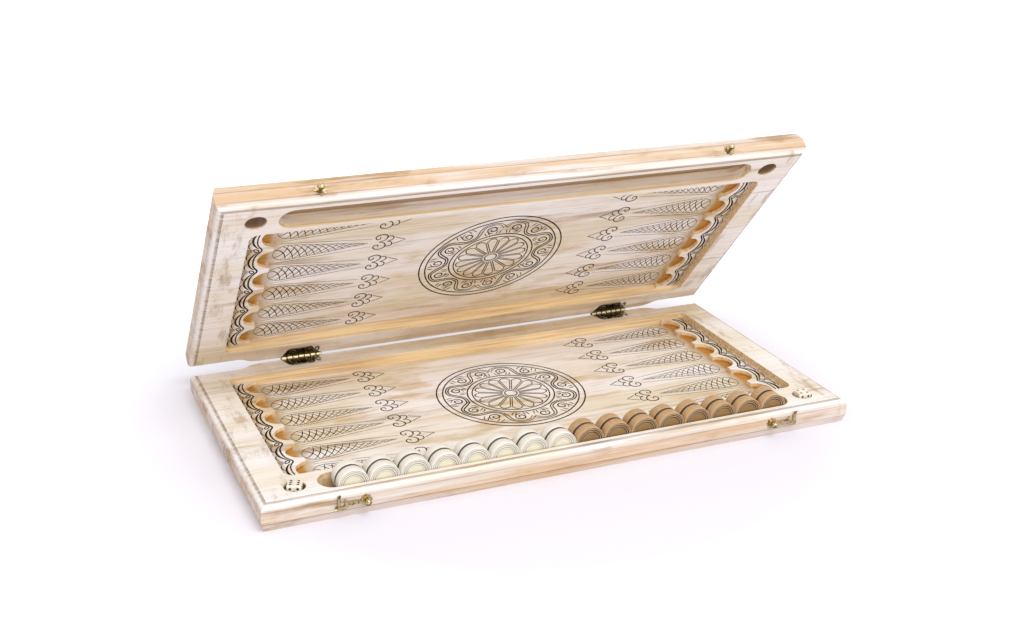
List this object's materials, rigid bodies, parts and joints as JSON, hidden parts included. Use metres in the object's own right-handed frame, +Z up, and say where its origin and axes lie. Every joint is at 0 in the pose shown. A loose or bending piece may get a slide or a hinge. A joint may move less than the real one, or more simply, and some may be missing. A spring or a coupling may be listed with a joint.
{
  "type": "backgammon board",
  "caption": "Folding carved wooden backgammon board: two hinged halves with recessed playing fields, a checker trough, dice holes, swing hooks, checkers and dice.",
  "frame": {"origin": "centre of the base's underside, on the surface it stands on", "axes": "+X along the board from the left end to the right end, +Z up, the hinges at +Y and the hooks at -Y"},
  "size_m": [0.6, 0.3273, 0.2695],
  "materials": {
    "wood": "whitewashed patina over brown",
    "antique_brass": "aged, dark",
    "brass": "polished, worn",
    "light_checker": "bleached, satin",
    "dark_checker": "stained, satin",
    "die": "gloss"
  },
  "bodies": {
    "base": {"base_board": "wood", "left_hinge_base_leaf": "antique_brass", "right_hinge_base_leaf": "antique_brass", "left_hinge_pin": "antique_brass", "right_hinge_pin": "antique_brass", "base_hinge_screws": "antique_brass", "left_hook_rosette": "brass", "right_hook_rosette": "brass", "left_hook_pivot": "brass", "right_hook_pivot": "brass"},
    "lid": {"lid_board": "wood", "left_hinge_lid_leaf": "antique_brass", "right_hinge_lid_leaf": "antique_brass", "lid_hinge_screws": "antique_brass", "left_catch_rosette": "brass", "right_catch_rosette": "brass", "left_catch_pin": "brass", "right_catch_pin": "brass"},
    "left_hook": {"left_hook": "brass"},
    "right_hook": {"right_hook": "brass"},
    "light_checker_front_1": {"light_checker_front_1": "light_checker"},
    "light_checker_front_2": {"light_checker_front_2": "light_checker"},
    "light_checker_front_3": {"light_checker_front_3": "light_checker"},
    "light_checker_front_4": {"light_checker_front_4": "light_checker"},
    "light_checker_front_5": {"light_checker_front_5": "light_checker"},
    "light_checker_front_6": {"light_checker_front_6": "light_checker"},
    "light_checker_front_7": {"light_checker_front_7": "light_checker"},
    "light_checker_front_8": {"light_checker_front_8": "light_checker"},
    "dark_checker_front_1": {"dark_checker_front_1": "dark_checker"},
    "dark_checker_front_2": {"dark_checker_front_2": "dark_checker"},
    "dark_checker_front_3": {"dark_checker_front_3": "dark_checker"},
    "dark_checker_front_4": {"dark_checker_front_4": "dark_checker"},
    "dark_checker_front_5": {"dark_checker_front_5": "dark_checker"},
    "dark_checker_front_6": {"dark_checker_front_6": "dark_checker"},
    "dark_checker_front_7": {"dark_checker_front_7": "dark_checker"},
    "dark_checker_front_8": {"dark_checker_front_8": "dark_checker"},
    "light_checker_rear_1": {"light_checker_rear_1": "light_checker"},
    "light_checker_rear_2": {"light_checker_rear_2": "light_checker"},
    "light_checker_rear_3": {"light_checker_rear_3": "light_checker"},
    "light_checker_rear_4": {"light_checker_rear_4": "light_checker"},
    "light_checker_rear_5": {"light_checker_rear_5": "light_checker"},
    "light_checker_rear_6": {"light_checker_rear_6": "light_checker"},
    "light_checker_rear_7": {"light_checker_rear_7": "light_checker"},
    "light_checker_rear_8": {"light_checker_rear_8": "light_checker"},
    "dark_checker_rear_1": {"dark_checker_rear_1": "dark_checker"},
    "dark_checker_rear_2": {"dark_checker_rear_2": "dark_checker"},
    "dark_checker_rear_3": {"dark_checker_rear_3": "dark_checker"},
    "dark_checker_rear_4": {"dark_checker_rear_4": "dark_checker"},
    "dark_checker_rear_5": {"dark_checker_rear_5": "dark_checker"},
    "dark_checker_rear_6": {"dark_checker_rear_6": "dark_checker"},
    "dark_checker_rear_7": {"dark_checker_rear_7": "dark_checker"},
    "dark_checker_rear_8": {"dark_checker_rear_8": "dark_checker"},
    "left_die": {"left_die": "die"},
    "right_die": {"right_die": "die"}
  },
  "joints": [
    {"name": "lid_hinge", "type": "hinge", "parent": "base", "child": "lid", "pos_m": [0, 0.1523, 0.0252], "axis": [-1, 0, 0], "range_deg": [-49.4, 130.6]},
    {"name": "left_hook_swing", "type": "hinge", "parent": "base", "child": "left_hook", "pos_m": [-0.207, -0.15, 0.0143], "axis": [0, -1, 0], "range_deg": [-90, 15]},
    {"name": "right_hook_swing", "type": "hinge", "parent": "base", "child": "right_hook", "pos_m": [0.2105, -0.15, 0.0143], "axis": [0, 1, 0], "range_deg": [-90, 15]},
    {"name": "light_checker_front_1_lift", "type": "slide", "parent": "base", "child": "light_checker_front_1", "axis": [0, 0, 1], "range_m": [0, 0.045]},
    {"name": "light_checker_front_2_lift", "type": "slide", "parent": "base", "child": "light_checker_front_2", "axis": [0, 0, 1], "range_m": [0, 0.045]},
    {"name": "light_checker_front_3_lift", "type": "slide", "parent": "base", "child": "light_checker_front_3", "axis": [0, 0, 1], "range_m": [0, 0.045]},
    {"name": "light_checker_front_4_lift", "type": "slide", "parent": "base", "child": "light_checker_front_4", "axis": [0, 0, 1], "range_m": [0, 0.045]},
    {"name": "light_checker_front_5_lift", "type": "slide", "parent": "base", "child": "light_checker_front_5", "axis": [0, 0, 1], "range_m": [0, 0.045]},
    {"name": "light_checker_front_6_lift", "type": "slide", "parent": "base", "child": "light_checker_front_6", "axis": [0, 0, 1], "range_m": [0, 0.045]},
    {"name": "light_checker_front_7_lift", "type": "slide", "parent": "base", "child": "light_checker_front_7", "axis": [0, 0, 1], "range_m": [0, 0.045]},
    {"name": "light_checker_front_8_lift", "type": "slide", "parent": "base", "child": "light_checker_front_8", "axis": [0, 0, 1], "range_m": [0, 0.045]},
    {"name": "dark_checker_front_1_lift", "type": "slide", "parent": "base", "child": "dark_checker_front_1", "axis": [0, 0, 1], "range_m": [0, 0.045]},
    {"name": "dark_checker_front_2_lift", "type": "slide", "parent": "base", "child": "dark_checker_front_2", "axis": [0, 0, 1], "range_m": [0, 0.045]},
    {"name": "dark_checker_front_3_lift", "type": "slide", "parent": "base", "child": "dark_checker_front_3", "axis": [0, 0, 1], "range_m": [0, 0.045]},
    {"name": "dark_checker_front_4_lift", "type": "slide", "parent": "base", "child": "dark_checker_front_4", "axis": [0, 0, 1], "range_m": [0, 0.045]},
    {"name": "dark_checker_front_5_lift", "type": "slide", "parent": "base", "child": "dark_checker_front_5", "axis": [0, 0, 1], "range_m": [0, 0.045]},
    {"name": "dark_checker_front_6_lift", "type": "slide", "parent": "base", "child": "dark_checker_front_6", "axis": [0, 0, 1], "range_m": [0, 0.045]},
    {"name": "dark_checker_front_7_lift", "type": "slide", "parent": "base", "child": "dark_checker_front_7", "axis": [0, 0, 1], "range_m": [0, 0.045]},
    {"name": "dark_checker_front_8_lift", "type": "slide", "parent": "base", "child": "dark_checker_front_8", "axis": [0, 0, 1], "range_m": [0, 0.045]},
    {"name": "light_checker_rear_1_lift", "type": "slide", "parent": "base", "child": "light_checker_rear_1", "axis": [0, 0, 1], "range_m": [0, 0.045]},
    {"name": "light_checker_rear_2_lift", "type": "slide", "parent": "base", "child": "light_checker_rear_2", "axis": [0, 0, 1], "range_m": [0, 0.045]},
    {"name": "light_checker_rear_3_lift", "type": "slide", "parent": "base", "child": "light_checker_rear_3", "axis": [0, 0, 1], "range_m": [0, 0.045]},
    {"name": "light_checker_rear_4_lift", "type": "slide", "parent": "base", "child": "light_checker_rear_4", "axis": [0, 0, 1], "range_m": [0, 0.045]},
    {"name": "light_checker_rear_5_lift", "type": "slide", "parent": "base", "child": "light_checker_rear_5", "axis": [0, 0, 1], "range_m": [0, 0.045]},
    {"name": "light_checker_rear_6_lift", "type": "slide", "parent": "base", "child": "light_checker_rear_6", "axis": [0, 0, 1], "range_m": [0, 0.045]},
    {"name": "light_checker_rear_7_lift", "type": "slide", "parent": "base", "child": "light_checker_rear_7", "axis": [0, 0, 1], "range_m": [0, 0.045]},
    {"name": "light_checker_rear_8_lift", "type": "slide", "parent": "base", "child": "light_checker_rear_8", "axis": [0, 0, 1], "range_m": [0, 0.045]},
    {"name": "dark_checker_rear_1_lift", "type": "slide", "parent": "base", "child": "dark_checker_rear_1", "axis": [0, 0, 1], "range_m": [0, 0.045]},
    {"name": "dark_checker_rear_2_lift", "type": "slide", "parent": "base", "child": "dark_checker_rear_2", "axis": [0, 0, 1], "range_m": [0, 0.045]},
    {"name": "dark_checker_rear_3_lift", "type": "slide", "parent": "base", "child": "dark_checker_rear_3", "axis": [0, 0, 1], "range_m": [0, 0.045]},
    {"name": "dark_checker_rear_4_lift", "type": "slide", "parent": "base", "child": "dark_checker_rear_4", "axis": [0, 0, 1], "range_m": [0, 0.045]},
    {"name": "dark_checker_rear_5_lift", "type": "slide", "parent": "base", "child": "dark_checker_rear_5", "axis": [0, 0, 1], "range_m": [0, 0.045]},
    {"name": "dark_checker_rear_6_lift", "type": "slide", "parent": "base", "child": "dark_checker_rear_6", "axis": [0, 0, 1], "range_m": [0, 0.045]},
    {"name": "dark_checker_rear_7_lift", "type": "slide", "parent": "base", "child": "dark_checker_rear_7", "axis": [0, 0, 1], "range_m": [0, 0.045]},
    {"name": "dark_checker_rear_8_lift", "type": "slide", "parent": "base", "child": "dark_checker_rear_8", "axis": [0, 0, 1], "range_m": [0, 0.045]},
    {"name": "left_die_lift", "type": "slide", "parent": "base", "child": "left_die", "axis": [0, 0, 1], "range_m": [0, 0.045]},
    {"name": "right_die_lift", "type": "slide", "parent": "base", "child": "right_die", "axis": [0, 0, 1], "range_m": [0, 0.045]}
  ]
}
